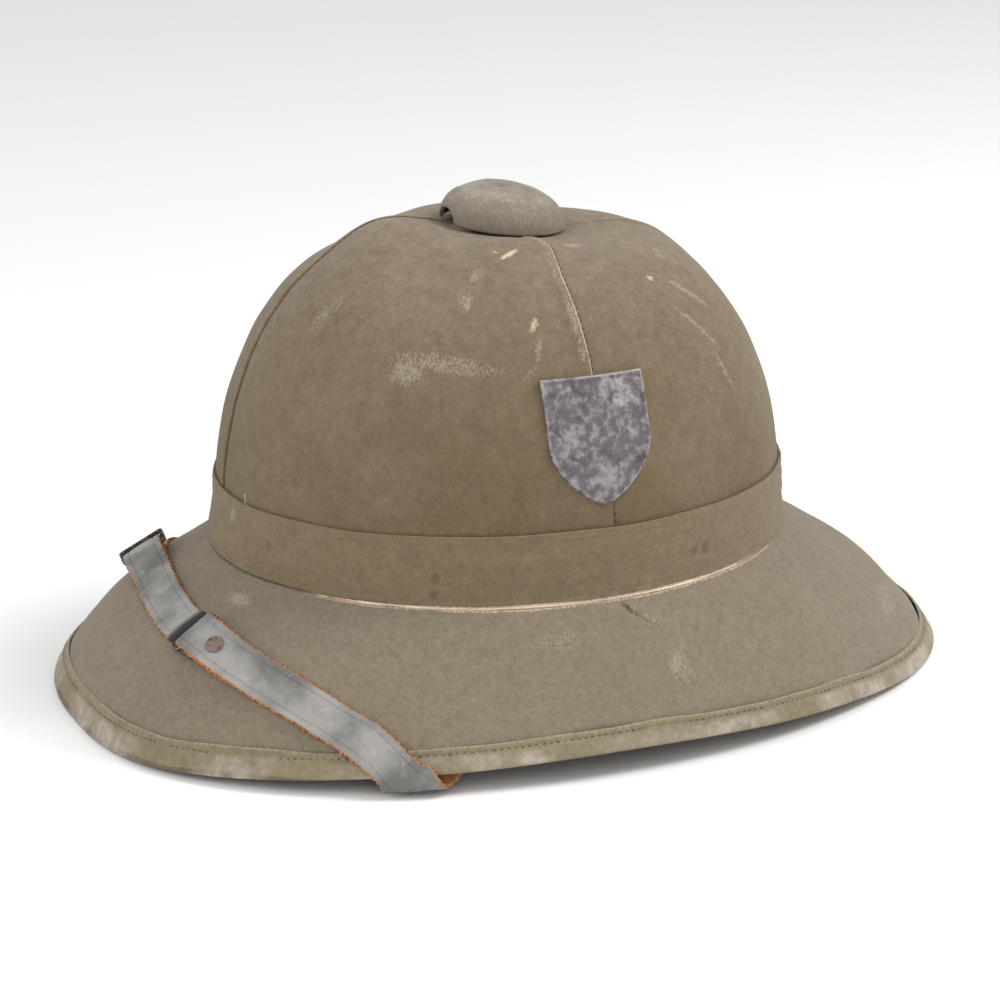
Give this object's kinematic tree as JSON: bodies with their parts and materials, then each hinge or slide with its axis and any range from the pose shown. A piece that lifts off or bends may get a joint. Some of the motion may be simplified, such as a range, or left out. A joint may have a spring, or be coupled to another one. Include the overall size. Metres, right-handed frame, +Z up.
{
  "type": "pith helmet",
  "caption": "Tropical sun helmet: domed cloth-covered crown with a vent button, a wide sloping brim, a bare shield badge and a leather strap over the front of the brim.",
  "frame": {"origin": "middle of the overall length and width, at the level that the brim rests on", "axes": "+Z up, -Y to the front of the helmet, +X to the wearer's left"},
  "size_m": [0.2668, 0.3458, 0.1888],
  "materials": {
    "pressed_cork": "pressed cork, matte",
    "crown_twill": "worn khaki cotton twill",
    "brim_cloth": "worn khaki cotton cloth",
    "band_twill": "folded khaki cotton twill",
    "binding_cloth": "khaki cotton binding, stitched and dusty",
    "button_twill": "khaki cotton twill over a pressed cap",
    "badge_alloy": "aged stamped alloy, bare and tarnished",
    "strap_leather": "grey painted leather with raw tan edges",
    "dark_steel": "blackened steel",
    "rivet_copper": "tarnished copper"
  },
  "bodies": {
    "root": {"shell": "pressed_cork", "crown_front_left": "crown_twill", "crown_front_right": "crown_twill", "crown_back_left": "crown_twill", "crown_back_right": "crown_twill", "brim_cover": "brim_cloth", "hat_band": "band_twill", "edge_binding": "binding_cloth", "vent_cap": "button_twill", "vent_stem": "dark_steel", "badge": "badge_alloy", "strap_left": "strap_leather", "strap_centre": "strap_leather", "strap_right": "strap_leather", "slider_left": "dark_steel", "slider_right": "dark_steel", "strap_rivet": "rivet_copper", "anchor_left": "rivet_copper", "anchor_right": "rivet_copper"}
  },
  "joints": []
}
